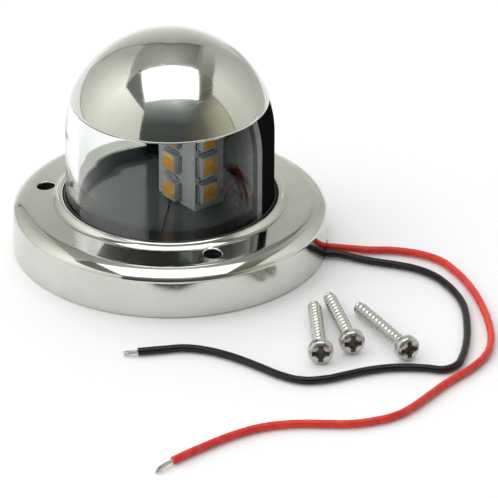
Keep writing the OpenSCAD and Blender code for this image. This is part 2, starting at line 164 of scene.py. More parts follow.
# Stage: way to the weakest diffuse light, as shares toward the camera and to its right, the left fill's place
# in metres toward the camera, to its right and up, and the floor
WEAK_LIGHT_WAY = (0.6, 0.8)
FILL_SPOT = (0.3, -1.2, 0.7)
FILL_SIDE = 1.0
FLOOR_HALF = 3.0
FLOOR_UNDER = 0.05 * MM

# Texture detail that all noise shares
NOISE_ROUGHNESS = 0.55


def length(name, description, millimetres):
    """Property for a size, given in millimetres and kept in metres."""
    return bpy.props.FloatProperty(
        name=name, description=description, default=millimetres * MM, precision=5, unit="LENGTH"
    )


def turn(name, description, degrees):
    """Property for an angle, given in degrees and kept in radians."""
    return bpy.props.FloatProperty(
        name=name, description=description, default=math.radians(degrees), subtype="ANGLE"
    )


def number(name, description, value, unit="NONE"):
    """Property for a number in its own unit, or with none."""
    return bpy.props.FloatProperty(name=name, description=description, default=value, unit=unit)


def colour(name, description, rgb):
    """Property for a colour."""
    return bpy.props.FloatVectorProperty(
        name=name, description=description, default=rgb, size=3, min=0, max=1, subtype="COLOR"
    )


class BaseSizes(bpy.types.PropertyGroup):
    """Sizes of the drawn base."""

    radius: length("Radius", "Outer radius of the base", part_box("base_flange")[1].x / MM)
    rim: length("Rim height", "Height of the rim below the shoulder", 9.1)
    draft: turn("Draft", "Lean of the rim", 1)
    shoulder: length("Shoulder", "Radius of the shoulder above the rim", 1.9)
    shoulder_turn: turn("Shoulder turn", "Angle at which the shoulder runs into the crown", 45)
    crown: length("Crown", "Radius of the crown between the shoulder and the top", 6)
    top_slope: turn("Top slope", "Slope of the top between the crown and the bead", 5)
    sheet: length("Sheet", "Thickness of the steel sheet", 0.8)
    bead: length("Bead", "Radius of the rolled bead round the window", 0.7)
    bead_circle: length("Bead circle", "Radius of the circle that the bead follows", 26.55)
    bead_rise: length("Bead rise", "Height of the bead's centre above the top", 0.45)
    hollow: length("Hollow", "Radius of the hollow between the top and the bead", 2.4)
    edge: length("Edge", "Rounding of the rim's lower edge", 0.5)
    hole: length("Hole", "Radius of the screw holes", 2.15)
    hole_circle: length("Hole circle", "Radius of the circle of the screw holes", 30.75)
    hole_turn: turn("Hole turn", "Direction of the first screw hole from +X", -139)
    lead_turn: turn("Lead turn", "Direction from +X in which the leads leave the rim", 42)
    notch_width: length("Notch width", "Width of the leads' notch in the rim", 6.8)
    notch_height: length("Notch height", "Height of the leads' notch in the rim", 2.9)


class WindowSizes(bpy.types.PropertyGroup):
    """Sizes of the window, the screen and the dome."""

    radius: length("Radius", "Outer radius at the window's foot", 25.2)
    arc: turn("Arc", "Arc that the window leaves open, centred ahead", 225)
    end_gap: turn("End gap", "Gap between the window's and the screen's edges", 0.2)
    wall: length("Wall", "Wall thickness of the clear window", 3)
    screen_wall: length("Screen wall", "Wall thickness of the rear screen", 1.6)
    foot: length("Foot", "Radius of the foot under the bead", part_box("clear_window")[1].x / MM)
    foot_height: length("Foot height", "Thickness of the foot", 1.8)
    lip: length("Lip height", "Height at which the wall starts to taper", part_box("lens_gasket")[1].z / MM)
    centre: length("Dome centre", "Height of the dome's centre", 30)
    dome: length("Dome radius", "Outer radius of the dome", 25.5)
    dome_sheet: length("Dome sheet", "Thickness of the dome's steel", 0.8)
    dome_edge: length("Dome edge", "Height of the dome's edge above its centre", 9)
    step: length("Step", "Step from the dome's outside to the window's outside", 0.35)
    lap: length("Lap radius", "Radius of the window's lap under the dome", 24.6)
    lap_height: length("Lap height", "Height of the lap's top above the dome's centre", 15)
    rounding: length("Rounding", "Rounding of the moulded edges", 0.25)


class LampSizes(bpy.types.PropertyGroup):
    """Sizes of the LED packages and of what is on the boards."""

    case: length("Case", "Side of an LED package", 5)
    window: length("Window", "Side of an LED's yellow window", 4)
    window_depth: length("Window depth", "Depth of the yellow filling under the package's face", 0.18)
    corner: length("Corner", "Chamfer of the package's edges", 0.2)
    terminal: length("Terminal", "Width of a soldered terminal", 0.9)
    track: length("Strip", "Width of a dark track on a board", 0.34)
    lead: length("Lead", "Diameter of the insulated leads", 1.8)
    strand: length("Strand", "Diameter of one bare strand", 0.3)


class ScrewSizes(bpy.types.PropertyGroup):
    """Sizes of the loose fixing screws."""

    thread: length("Thread", "Outer diameter of the thread", 3.2)
    core: length("Core", "Diameter at the thread's root", 2.4)
    pitch: length("Pitch", "Distance from one turn of the thread to the next", 1.6)
    shank: length("Shank", "Length under the head", 24)
    head: length("Head", "Diameter of the head", 6)
    head_height: length("Head height", "Height of the head", 2.4)
    head_rim: length("Head rim", "Height of the head's straight rim", 1)
    recess: length("Recess", "Reach of the drive recess from the axis", 2.1)
    recess_arm: length("Recess arm", "Width of an arm of the drive recess", 1.15)
    recess_depth: length("Recess depth", "Depth of the drive recess", 1.5)


class FinishColours(bpy.types.PropertyGroup):
    """Colours of the finishes."""

    steel: colour("Steel", "Mirror-polished stainless steel", (0.625, 0.635, 0.595))
    lens: colour("Lens", "Clear moulded plastic", (0.97, 0.985, 0.98))
    screen: colour("Screen", "Glossy black plastic", (0.008, 0.008, 0.009))
    floor: colour("Lamp holder", "Dark glossy floor under the window", (0.05, 0.062, 0.064))
    # End glow: the window's port end face is coloured pale as a painted highlight, standing in for light that
    # glows along the clear end.
    end_glow: colour("End glow", "Pale joint between the window and the screen", (0.36, 0.4, 0.4))
    moulding: colour("Base plate", "Matt black moulded plastic", (0.022, 0.022, 0.024))
    rubber: colour("Rubber", "Black seal rubber", (0.012, 0.012, 0.012))
    # The solder mask is white in itself. This grey is painted shade for the dim inside of the light.
    board: colour("Board", "Pale grey solder mask", (0.5, 0.53, 0.54))
    # Colour of the dark strips that edge each package above, below and at its sides.
    track: colour("Strip", "Dark gaps and tracks on the boards", (0.03, 0.03, 0.03))
    # The LED packages are white in themselves. This grey is painted shade for the dim inside of the light.
    case: colour("LED case", "Grey-white LED package", (0.44, 0.46, 0.45))
    gel: colour("LED gel", "Orange-yellow phosphor gel", (0.95, 0.37, 0.016))
    chip: colour("Chip", "Black chip resistor", (0.02, 0.02, 0.022))
    red: colour("Red lead", "Red PVC insulation", (0.68, 0.04, 0.025))
    # Red insulation painted darker, as shade inside the light.
    red_inner_shaded: colour("Red inner lead", "Dark red insulation inside the light", (0.11, 0.006, 0.01))
    black: colour("Black lead", "Black PVC insulation", (0.009, 0.009, 0.009))
    tin: colour("Tinned wire", "Bare tinned strands and solder", (0.6, 0.58, 0.54))
    screw: colour("Screw steel", "Bright stainless steel", (0.55, 0.55, 0.52))
    # Painted shade: the recess is the screw's own steel, coloured dark olive where shade falls inside it.
    recess: colour("Recess", "Dark inside of a drive recess", (0.13, 0.125, 0.09))


class StageSettings(bpy.types.PropertyGroup):
    """Camera, lamps and floor."""

    aim: bpy.props.FloatVectorProperty(
        name="Aim", description="Point the camera looks at", default=(0.0187, 0.0095, 0.0027), subtype="XYZ"
    )
    azimuth: turn("Azimuth", "Camera's direction, turned from ahead toward port", 50.76)
    elevation: turn("Elevation", "Camera's angle above the floor", 28.31)
    distance: length("Distance", "From the aim to the camera", 1000.4)
    lens: number("Lens", "Focal length on a 36 mm sensor", 299.7, "CAMERA")
    roll: turn("Roll", "Turn of the camera about its own axis", 0.42)
    soft_height: length("Softbox height", "Height of the softbox's middle above the floor", 986)
    soft_width: length("Softbox width", "Size of the softbox across the view", 975)
    soft_depth: length("Softbox depth", "Size of the softbox along the view", 702)
    soft_shift: length("Softbox shift", "Shift of the softbox toward the camera", 114)
    soft_side: length("Softbox side", "Shift of the softbox to the camera's right", 27)
    soft_lean: turn("Softbox lean", "Lean of the softbox, with its edge by the camera lower", 18)
    soft_twist: turn("Softbox twist", "Turn of the softbox in its own plane", 4.3)
    soft_power: number("Softbox power", "Power in watts", 4.1, "POWER")
    fill_power: number("Fill power", "Power of the left fill in watts", 1.5, "POWER")
    ambient_back: number("Back light", "Diffuse light from the back left", 2.2)
    ambient_front: number("Front light", "Diffuse light from the front right", 0.05)
    floor: colour("Floor", "Pale floor", (0.89, 0.89, 0.89))
    floor_lift: number("Floor lift", "Brightness added to the floor", 0.02)


GROUPS = {
    "base": BaseSizes,
    "window": WindowSizes,
    "lamp": LampSizes,
    "screw": ScrewSizes,
    "colours": FinishColours,
    "stage": StageSettings,
}
PREFIX = "navlight_"


def settings(context, group):
    """One of the add-on's property groups on the scene."""
    return getattr(context.scene, PREFIX + group)


# Finishes


class Nodes:
    """The nodes of a material or a world, with helpers to add and link them."""

    def __init__(self, owner):
        owner.use_nodes = True
        self.tree = owner.node_tree

    def add(self, kind, **values):
        node = self.tree.nodes.new(kind)
        for key, value in values.items():
            setattr(node, key, value)
        return node

    def link(self, source, target):
        self.tree.links.new(source, target)

    def span(self, factor, low, high, start=0.3, end=0.7):
        """A number that runs from low to high as a factor runs from start to end."""
        node = self.add("ShaderNodeMapRange")
        for key, value in (("From Min", start), ("From Max", end), ("To Min", low), ("To Max", high)):
            node.inputs[key].default_value = value
        self.link(factor, node.inputs["Value"])
        return node.outputs["Result"]

    def combine(self, operation, first, second):
        """One number from two."""
        node = self.add("ShaderNodeMath", operation=operation)
        self.link(first, node.inputs[0])
        self.link(second, node.inputs[1])
        return node.outputs["Value"]

    def axis(self, vector, name):
        """One part of a vector."""
        node = self.add("ShaderNodeSeparateXYZ")
        self.link(vector, node.inputs["Vector"])
        return node.outputs[name]


class Finish(Nodes):
    """A material round one Principled shader, with helpers for its textures."""

    def __init__(self, name, **sockets):
        self.material = bpy.data.materials.new(name)
        super().__init__(self.material)
        self.shader = self.tree.nodes["Principled BSDF"]
        for socket, value in sockets.items():
            self.shader.inputs[socket.replace("_", " ")].default_value = value
        self.place = self.add("ShaderNodeTexCoord").outputs["Object"]

    def noise(self, scale, detail, stretch=(1, 1, 1)):
        """Noise in metres, stretched along the axes with small values."""
        mapping = self.add("ShaderNodeMapping")
        mapping.inputs["Scale"].default_value = stretch
        self.link(self.place, mapping.inputs["Vector"])
        node = self.add("ShaderNodeTexNoise")
        node.inputs["Scale"].default_value = scale
        node.inputs["Detail"].default_value = detail
        node.inputs["Roughness"].default_value = NOISE_ROUGHNESS
        self.link(mapping.outputs["Vector"], node.inputs["Vector"])
        return node.outputs["Fac"]

    def tones(self, factor, dark, light):
        """A colour between two tones."""
        node = self.add("ShaderNodeMix", data_type="RGBA")
        self.link(self.span(factor, 0, 1), node.inputs["Factor"])
        for socket, rgb in ((6, dark), (7, light)):
            node.inputs[socket].default_value = (*rgb, 1)
        return node.outputs[2]

    def paint(self, factor, rgb, spread):
        """Base colour round one tone, lighter and darker by a share."""
        dark = [c * (1 - spread) for c in rgb]
        light = [min(1, c * (1 + spread)) for c in rgb]
        self.link(self.tones(factor, dark, light), self.shader.inputs["Base Color"])

    def rough(self, factor, low, high):
        self.link(self.span(factor, low, high), self.shader.inputs["Roughness"])

    def scratches(self, low, high, dull, wall=None):
        """Roughness of a polished surface: soft clouds with fine dull scratches, and what a wall adds."""
        clouds = self.span(self.noise(45, detail=5), low, high)
        fine = self.noise(1400, detail=2, stretch=(0.2, 0.2, 2))
        result = self.combine("MAXIMUM", clouds, self.span(fine, 0, dull, 0.54, 0.74))
        if wall:
            result = self.combine("ADD", result, wall)
        self.link(result, self.shader.inputs["Roughness"])

    def bump(self, factor, strength, depth):
        node = self.add("ShaderNodeBump")
        node.inputs["Strength"].default_value = strength
        node.inputs["Distance"].default_value = depth
        self.link(factor, node.inputs["Height"])
        self.link(node.outputs["Normal"], self.shader.inputs["Normal"])

    def surface(self, rgb, spread, clouds, rough, bump, grain=None):
        """Colour and roughness in clouds, and a bump from these or from a grain. Gives back the material."""
        broad = self.noise(*clouds)
        self.paint(broad, rgb, spread)
        self.rough(broad, *rough)
        self.bump(self.noise(*grain) if grain else broad, *bump)
        return self.material

    def see_through(self, factor):
        """Lets rays straight through where a factor is 1."""
        clear = self.add("ShaderNodeBsdfTransparent")
        mix = self.add("ShaderNodeMixShader")
        self.link(factor, mix.inputs["Fac"])
        self.link(self.shader.outputs["BSDF"], mix.inputs[1])
        self.link(clear.outputs["BSDF"], mix.inputs[2])
        self.link(mix.outputs["Shader"], self.tree.nodes["Material Output"].inputs["Surface"])


def polished_steel(rgb):
    """The dome's sheet, polished to a mirror, with fine polishing lines and dull scratches round it."""
    finish = Finish("mirror_steel", Metallic=1.0)
    finish.paint(finish.noise(90, detail=6), rgb, 0.05)
    finish.scratches(low=0.055, high=0.11, dull=0.24)
    finish.bump(finish.noise(900, detail=2, stretch=(0.25, 0.25, 3)), 0.1, 0.03 * MM)
    return finish.material


def drawn_steel(rgb):
    """The base's sheet: a mirror on top, with soft marks of drawing and buffing round its rim."""
    finish = Finish("drawn_steel", Metallic=1.0, Anisotropic=0.5, Anisotropic_Rotation=0.25)
    round_axis = finish.add("ShaderNodeTangent", direction_type="RADIAL", axis="Z")
    finish.link(round_axis.outputs["Tangent"], finish.shader.inputs["Tangent"])
    finish.paint(finish.noise(90, detail=6), rgb, 0.05)
    upright = finish.axis(finish.add("ShaderNodeNewGeometry").outputs["Normal"], "Z")
    finish.scratches(low=0.045, high=0.09, dull=0.2, wall=finish.span(upright, 0.015, 0, 0.1, 0.2))
    finish.bump(finish.noise(60, detail=3, stretch=(1, 1, 26)), 0.1, 0.02 * MM)
    return finish.material


def clear_lens(rgb):
    """Clear moulding that lets shadow rays through."""
    finish = Finish("clear_moulding", IOR=1.49, Transmission_Weight=1.0, Specular_Tint=(0.15, 0.18, 0.18, 1))
    finish.see_through(finish.add("ShaderNodeLightPath").outputs["Is Shadow Ray"])
    return finish.surface(rgb, spread=0.01, clouds=(35, 2), rough=(0, 0.02), bump=(0.02, 0.05 * MM))


def plastic(name, rgb, rough, grain=900, depth=0.01, spread=0.06):
    """Moulded or coated surface with a fine grain."""
    low, high = rough * 0.8, rough * 1.2
    return Finish(name).surface(rgb, spread, (grain / 12, 3), (low, high), (0.15, depth * MM), (grain, 5))


def screen_satin(rgb):
    """Outer face of the screen: dull at its port end, and glossier round the back."""
    full_gloss, no_gloss = 3 * MM, 16 * MM
    finish = Finish("screen_satin", Specular_IOR_Level=0.0, Coat_Roughness=0.06)
    gloss = finish.span(finish.axis(finish.place, "X"), 1, 0, full_gloss, no_gloss)
    finish.link(gloss, finish.shader.inputs["Coat Weight"])
    return finish.surface(
        rgb, spread=0.06, clouds=(75, 3), rough=(0.24, 0.36), bump=(0.1, 0.003 * MM), grain=(300, 3)
    )


def holder_gloss(rgb):
    """Glossy floor of the lamp holder, with painted shade round its edge that is broadest ahead and to port.
    """
    off_centre, pale_reach, painted_shade_reach = (4.9 * MM, -4 * MM, 0), 19.8 * MM, 21.2 * MM
    dark = (0.004, 0.004, 0.004, 1)
    finish = Finish("floor_gloss")
    cloud = finish.noise(60, detail=4)
    out = finish.add("ShaderNodeVectorMath", operation="MULTIPLY_ADD")
    out.inputs[1].default_value = (1, 1, 0)
    out.inputs[2].default_value = off_centre
    finish.link(finish.place, out.inputs[0])
    reach = finish.add("ShaderNodeVectorMath", operation="LENGTH")
    finish.link(out.outputs["Vector"], reach.inputs[0])
    # Painted shade: the colour darkens to near black towards the edge, off centre ahead and to port.
    edge = finish.span(reach.outputs["Value"], 0, 1, pale_reach, painted_shade_reach)
    shade = finish.add("ShaderNodeMix", data_type="RGBA")
    finish.link(edge, shade.inputs["Factor"])
    finish.link(finish.tones(cloud, [c * 0.85 for c in rgb], [c * 1.15 for c in rgb]), shade.inputs[6])
    shade.inputs[7].default_value = dark
    finish.link(shade.outputs[2], finish.shader.inputs["Base Color"])
    finish.rough(cloud, 0.1, 0.2)
    finish.bump(finish.noise(120, detail=1), 0.05, 0.004 * MM)
    return finish.material


def phosphor(rgb):
    """Gel over the LED chips, in soft clouds of deeper orange and paler yellow."""
    finish = Finish("phosphor_gel", Subsurface_Weight=0.25, Subsurface_Scale=0.4 * MM, Coat_Weight=0.4)
    cloud = finish.noise(600, detail=3)
    deep, pale = [c * 0.85 for c in rgb], (rgb[0], rgb[1] * 1.3, rgb[2] * 3)
    finish.link(finish.tones(cloud, deep, pale), finish.shader.inputs["Base Color"])
    finish.rough(cloud, 0.18, 0.3)
    finish.bump(cloud, 0.1, 0.02 * MM)
    return finish.material


def insulation(name, rgb):
    """Extruded PVC: satin, with a fine grain and a few dull marks."""
    finish = Finish(name, Specular_IOR_Level=0.3)
    return finish.surface(
        rgb, spread=0.12, clouds=(250, 6), rough=(0.2, 0.34), bump=(0.12, 0.02 * MM), grain=(1400, 4)
    )


def bare_metal(name, rgb, *rough):
    """Bright metal with drawn or rolled marks."""
    finish = Finish(name, Metallic=1.0)
    return finish.surface(rgb, spread=0.08, clouds=(700, 5), rough=rough, bump=(0.08, 0.01 * MM))


FINISHES = {}


def finishes(context):
    """The materials by name, made once."""
    if not FINISHES:
        hue = settings(context, "colours")
        made = (
            polished_steel(hue.steel),
            drawn_steel(hue.steel),
            clear_lens(hue.lens),
            plastic("screen_gloss", hue.screen, 0.03, grain=120, depth=0.001),
            screen_satin(hue.screen),
            holder_gloss(hue.floor),
            plastic("painted_end_glow", hue.end_glow, 0.45),
            plastic("base_moulding", hue.moulding, 0.48, grain=2200, depth=0.03),
            plastic("seal_rubber", hue.rubber, 0.38, grain=1500, depth=0.02),
            plastic("board_coat", hue.board, 0.3, grain=1600, depth=0.006, spread=0.03),
            plastic("board_strip", hue.track, 0.45, grain=1600),
            plastic("package_white", hue.case, 0.32, grain=1800, spread=0.03),
            plastic("chip_body", hue.chip, 0.4, grain=2500),
            phosphor(hue.gel),
            insulation("red_insulation", hue.red),
            insulation("red_hookup_insulation", hue.red_inner_shaded),
            insulation("black_insulation", hue.black),
            bare_metal("tinned_copper", hue.tin, 0.25, 0.45),
            bare_metal("bright_steel", hue.screw, 0.22, 0.36),
            plastic("recess_shade", hue.recess, 0.5, grain=2500),
        )
        FINISHES.update((material.name, material) for material in made)
    return FINISHES


# Shapes


def arc(centre, radius, start, end, steps):
    """Points of an arc in the section plane, from one angle in degrees to another."""
    turns = (math.radians(start + (end - start) * i / steps) for i in range(steps + 1))
    return [(centre[0] + radius * math.cos(a), centre[1] + radius * math.sin(a)) for a in turns]


def heading(start, end):
    """Direction in degrees from one point of the section plane to another."""
    return math.degrees(math.atan2(end[1] - start[1], end[0] - start[0]))


def lathe(outline, sweep=TAU, start=0.0, steps=ROUND_STEPS):
    """Mesh of a closed section turned about Z, with flat ends where it isn't a full turn."""
    mesh = bmesh.new()
    closed = math.isclose(sweep, TAU)
    rings = []
    for i in range(steps if closed else steps + 1):
        a = start + sweep * i / steps
        rings.append([mesh.verts.new((r * math.cos(a), r * math.sin(a), z)) for r, z in outline])
    for i in range(steps):
        here, there = rings[i], rings[(i + 1) % len(rings)]
        for k in range(len(outline)):
            n = (k + 1) % len(outline)
            mesh.faces.new((here[k], there[k], there[n], here[n]))
    if not closed:
        mesh.faces.new(rings[0])
        mesh.faces.new(rings[-1])
    bmesh.ops.remove_doubles(mesh, verts=mesh.verts, dist=1e-7)
    bmesh.ops.recalc_face_normals(mesh, faces=mesh.faces)
    return mesh


def block(mesh, low, high, spot=Matrix(), bevel=0.0):
    """Adds a box between two corners, with chamfered edges, to a mesh."""
    centre = (Vector(low) + Vector(high)) / 2
    size = Vector(high) - Vector(low)
    shape = spot @ Matrix.Translation(centre) @ Matrix.Diagonal((*size, 1))
    made = bmesh.ops.create_cube(mesh, size=1, matrix=shape)["verts"]
    if bevel:
        edges = list({e for v in made for e in v.link_edges})
        bmesh.ops.bevel(mesh, geom=edges, offset=bevel, segments=2, profile=0.5, affect="EDGES")


def to_mesh(name, shape):
    """Smooth mesh data from a bmesh, sharp where faces meet at an angle."""
    data = bpy.data.meshes.new(name)
    shape.to_mesh(data)
    shape.free()
    data.shade_smooth()
    data.set_sharp_from_angle(angle=SHARP)
    return data


def show(name, data):
    """Puts object data in the scene."""
    item = bpy.data.objects.new(name, data)
    bpy.context.scene.collection.objects.link(item)
    return item


def place(name, shape, material, stands_for=(), body="light"):
    """Puts a bmesh, or finished mesh or curve data, in the scene as a piece that rides on a body."""
    data = to_mesh(name, shape) if isinstance(shape, bmesh.types.BMesh) else shape
    data.name = name
    piece = show(name, data)
    data.materials.append(material)
    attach(piece, body)
    if stands_for:
        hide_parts(*stands_for)
    return piece


def dress(node, material, bevel=0.0):
    """Gives a CAD node that stays on show its finish, and broken edges."""
    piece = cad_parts[node]
    piece.data.materials.clear()
    piece.data.materials.append(material)
    if bevel:
        edges = piece.modifiers.new("broken_edges", "BEVEL")
        edges.width = bevel
        edges.segments = 2
        edges.limit_method = "ANGLE"


def cut(whole, cutters):
    """Mesh data less some cutter meshes, which are used up."""
    body = show("whole", whole)
    tools = [show("cutter", data) for data in cutters]
    for tool in tools:
        change = body.modifiers.new("cut", "BOOLEAN")
        change.operation = "DIFFERENCE"
        change.solver = "EXACT"
        change.object = tool
    shown = body.evaluated_get(bpy.context.evaluated_depsgraph_get())
    result = bpy.data.meshes.new_from_object(shown)
    for item in (body, *tools):
        bpy.data.objects.remove(item)
    result.shade_smooth()
    result.set_sharp_from_angle(angle=SHARP)
    return result


def keep_normals(result, whole, centres, reach):
    """Near some points, gives what a cut has left of a surface the normals of the whole surface."""
    farthest, least_match = 0.05 * MM, 0.97
    corners = [v.co.copy() for v in whole.vertices]
    tree = BVHTree.FromPolygons(corners, [tuple(p.vertices) for p in whole.polygons])
    smooth = [n.vector.copy() for n in whole.corner_normals]
    normals = [n.vector.copy() for n in result.corner_normals]
    for face in result.polygons:
        if min((face.center - c).length for c in centres) > reach:
            continue
        _, towards, _, gap = tree.find_nearest(face.center)
        if gap > farthest or face.normal.dot(towards) < least_match:
            continue
        for loop in face.loop_indices:
            spot, _, index, _ = tree.find_nearest(result.vertices[result.loops[loop].vertex_index].co)
            whole_face = whole.polygons[index]
            shares = poly_3d_calc([corners[i] for i in whole_face.vertices], spot)
            parts = (smooth[i] * s for i, s in zip(whole_face.loop_indices, shares))
            normals[loop] = sum(parts, Vector()).normalized()
    result.normals_split_custom_set(normals)


def tube(routes, radius, sides=5):
    """Curve data of round leads along routes in metres."""
    data = bpy.data.curves.new("tube", "CURVE")
    data.dimensions = "3D"
    data.bevel_depth = radius
    data.bevel_resolution = sides
    data.use_fill_caps = True
    data.resolution_u = 10
    for route in routes:
        spline = data.splines.new("BEZIER")
        spline.bezier_points.add(len(route) - 1)
        for point, spot in zip(spline.bezier_points, route):
            point.co = spot
            point.handle_left_type = point.handle_right_type = "AUTO"
    return data


def metres(route):
    """A route in metres, from millimetres."""
    return [Vector(p) * MM for p in route]


# Operators, in the order in which they run


class NAVLIGHT_OT_stage(bpy.types.Operator):
    """Set up the camera, the soft studio light, the light tent and the pale floor"""

    bl_idname = "navlight.stage"
    bl_label = "Stage"

    def execute(self, context):
        stage = settings(context, "stage")
        context.scene.view_settings.view_transform = "Standard"
        ahead = Vector((math.sin(stage.azimuth), -math.cos(stage.azimuth), 0))
        across = Vector((math.cos(stage.azimuth), math.sin(stage.azimuth), 0))
        self.camera(context, stage, ahead)
        self.world(context, stage, ahead, across)
        self.lamps(stage, ahead, across)
        self.floor(stage)
        for name, (lower, upper, tint, layer) in TENT_STRIPS.items():
            for i in range(len(lower) - 1):
                corners = (lower[i], lower[i + 1], upper[i + 1], upper[i])
                self.card(f"{name}_{i + 1}", corners, tint, layer, ahead, across)
        return {"FINISHED"}

    def camera(self, context, stage, ahead):
        data = bpy.data.cameras.new("camera")
        data.lens = stage.lens
        data.clip_start = 0.01
        data.clip_end = 20
        camera = show("camera", data)
        back = ahead * math.cos(stage.elevation) + Vector((0, 0, math.sin(stage.elevation)))
        look = (-back).to_track_quat("-Z", "Y").to_matrix().to_4x4()
        spot = Vector(stage.aim) + back * stage.distance
        camera.matrix_world = Matrix.Translation(spot) @ look @ Matrix.Rotation(stage.roll, 4, "Z")
        context.scene.camera = camera

    def world(self, context, stage, ahead, across):
        """White to the camera, in metal and through glass, with diffuse light from the back left."""
        world = bpy.data.worlds.new("studio")
        context.scene.world = world
        sky = Nodes(world)
        rays = sky.add("ShaderNodeLightPath").outputs
        seen = sky.combine("MAXIMUM", rays["Is Camera Ray"], rays["Is Glossy Ray"])
        seen = sky.combine("MAXIMUM", seen, rays["Is Transmission Ray"])
        facing = sky.add("ShaderNodeVectorMath", operation="DOT_PRODUCT")
        facing.inputs[1].default_value = ahead * WEAK_LIGHT_WAY[0] + across * WEAK_LIGHT_WAY[1]
        sky.link(sky.add("ShaderNodeTexCoord").outputs["Generated"], facing.inputs[0])
        soft = sky.span(facing.outputs["Value"], stage.ambient_back, stage.ambient_front, -1, 1)
        level = sky.add("ShaderNodeMapRange")
        level.inputs["To Max"].default_value = 1
        sky.link(soft, level.inputs["To Min"])
        sky.link(seen, level.inputs["Value"])
        background = sky.tree.nodes["Background"].inputs
        background["Color"].default_value = (1, 1, 1, 1)
        sky.link(level.outputs["Result"], background["Strength"])

    def lamps(self, stage, ahead, across):
        """Leaning softbox that lights glossy surfaces only, and a left fill that stays out of reflections."""
        up = Vector((0, 0, 1))
        over = ahead * stage.soft_shift + across * stage.soft_side + up * stage.soft_height
        facing = -ahead * math.sin(stage.soft_lean) - up * math.cos(stage.soft_lean)
        upright = ahead * math.cos(stage.soft_twist) + across * math.sin(stage.soft_twist)
        size = (stage.soft_width, stage.soft_depth)
        self.lamp("softbox", over, facing, upright, size, stage.soft_power).visible_diffuse = False
        side = ahead * FILL_SPOT[0] + across * FILL_SPOT[1] + up * FILL_SPOT[2]
        size = (FILL_SIDE, FILL_SIDE)
        self.lamp("left_fill", side, -side, up, size, stage.fill_power).visible_glossy = False

    def lamp(self, name, spot, towards, upright, size, power):
        data = bpy.data.lights.new(name, "AREA")
        data.shape = "RECTANGLE"
        data.size, data.size_y = size
        data.energy = power
        lamp = show(name, data)
        back = -towards.normalized()
        right = upright.cross(back).normalized()
        turn_in = Matrix((right, back.cross(right), back)).transposed().to_4x4()
        lamp.matrix_world = Matrix.Translation(spot) @ turn_in
        lamp.visible_camera = False
        return lamp

    def floor(self, stage):
        """Pale floor that keeps the shadow, and can be seen through from below."""
        data = bpy.data.meshes.new("floor")
        corners = ((-1, -1), (1, -1), (1, 1), (-1, 1))
        spots = [(x * FLOOR_HALF, y * FLOOR_HALF, -FLOOR_UNDER) for x, y in corners]
        data.from_pydata(spots, [], [(0, 1, 2, 3)])
        floor = show("floor", data)
        finish = Finish("pale_floor", Roughness=0.9, Specular_IOR_Level=0.1)
        finish.shader.inputs["Emission Strength"].default_value = stage.floor_lift
        finish.shader.inputs["Emission Color"].default_value = (1, 1, 1, 1)
        finish.paint(finish.noise(4, detail=3), stage.floor, 0.01)
        finish.see_through(finish.add("ShaderNodeNewGeometry").outputs["Backfacing"])
        data.materials.append(finish.material)

    def card(self, name, corners, tint, layer, ahead, across):
        """One card of the tent, which metal reflects. The dark front shows through the lens too."""
        reach = TENT_RADIUS - layer * TENT_LAYER
        spots, tones, faces, ways = [], [], [], []
        for azimuth, elevation, _ in corners:
            a, e = math.radians(azimuth), math.radians(elevation)
            level = ahead * math.cos(a) + across * math.sin(a)
            ways.append(level * math.cos(e) + Vector((0, 0, math.sin(e))))
        for j in range(CARD_STEPS + 1):
            for i in range(CARD_STEPS + 1):
                u, v = i / CARD_STEPS, j / CARD_STEPS
                shares = ((1 - u) * (1 - v), u * (1 - v), u * v, (1 - u) * v)
                spots.append(sum((d * s for d, s in zip(ways, shares)), Vector()).normalized() * reach)
                tone = sum(c[2] * s for c, s in zip(corners, shares))
                tones += [tone * c for c in tint] + [1]
        row = CARD_STEPS + 1
        for j in range(CARD_STEPS):
            for i in range(CARD_STEPS):
                k = j * row + i
                faces.append((k, k + 1, k + row + 1, k + row))
        data = bpy.data.meshes.new(name)
        data.from_pydata(spots, [], faces)
        data.attributes.new("tone", "FLOAT_COLOR", "POINT").data.foreach_set("color", tones)
        data.materials.append(self.card_finish())
        card = show(name, data)
        card.visible_camera = card.visible_diffuse = card.visible_shadow = False
        card.visible_transmission = name.startswith("front")

    def card_finish(self):
        """Glow by the tone stored on a card's points, made once."""
        found = bpy.data.materials.get("tent_card")
        if found:
            return found
        material = bpy.data.materials.new("tent_card")
        card = Nodes(material)
        card.tree.nodes.remove(card.tree.nodes["Principled BSDF"])
        tone = card.add("ShaderNodeAttribute", attribute_name="tone")
        glow = card.add("ShaderNodeEmission")
        card.link(tone.outputs["Color"], glow.inputs["Color"])
        card.link(glow.outputs["Emission"], card.tree.nodes["Material Output"].inputs["Surface"])
        return material


